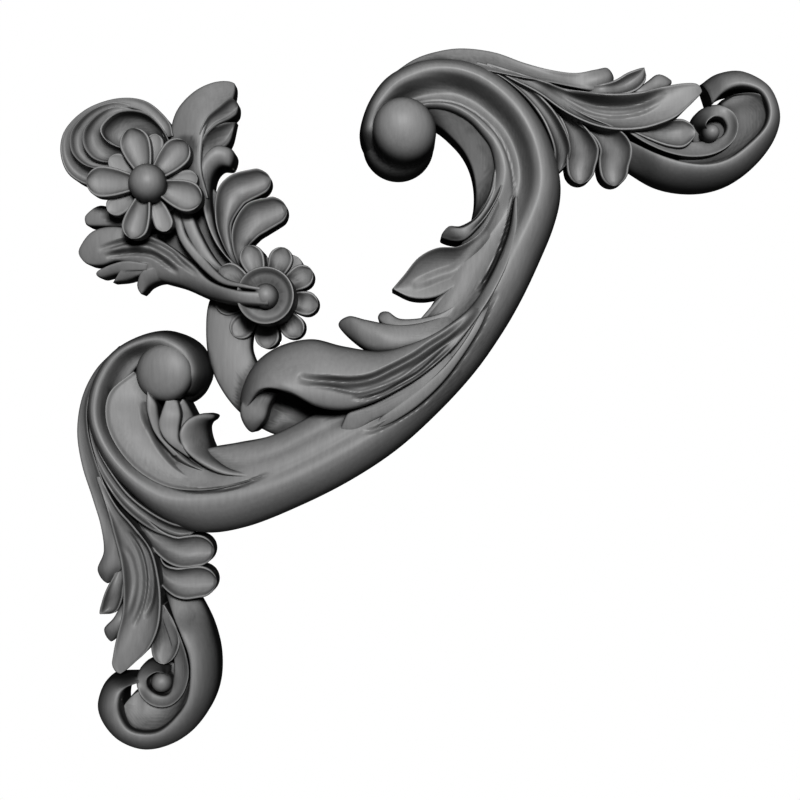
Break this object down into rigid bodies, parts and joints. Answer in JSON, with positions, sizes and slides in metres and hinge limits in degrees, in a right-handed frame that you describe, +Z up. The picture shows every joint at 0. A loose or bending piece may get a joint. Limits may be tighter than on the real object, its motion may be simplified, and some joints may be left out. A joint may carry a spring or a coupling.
{
  "type": "carved corner applique",
  "caption": "Carved wood corner ornament with a C-scroll, curled acanthus leaves, volute ends and a flower spray, flat at the back.",
  "frame": {"origin": "on the flat back, in the middle of the big scroll where the corner's diagonal crosses it", "axes": "+Y is the flat back's outward normal, into the wall; the relief stands toward -Y; +X runs right and +Z up along the wall as in the picture"},
  "size_m": [0.2823, 0.0331, 0.2736],
  "materials": {
    "carved_wood": "satin graphite-grey paint over close-grained carved wood"
  },
  "bodies": {
    "root": {"corner_applique": "carved_wood"}
  },
  "joints": []
}
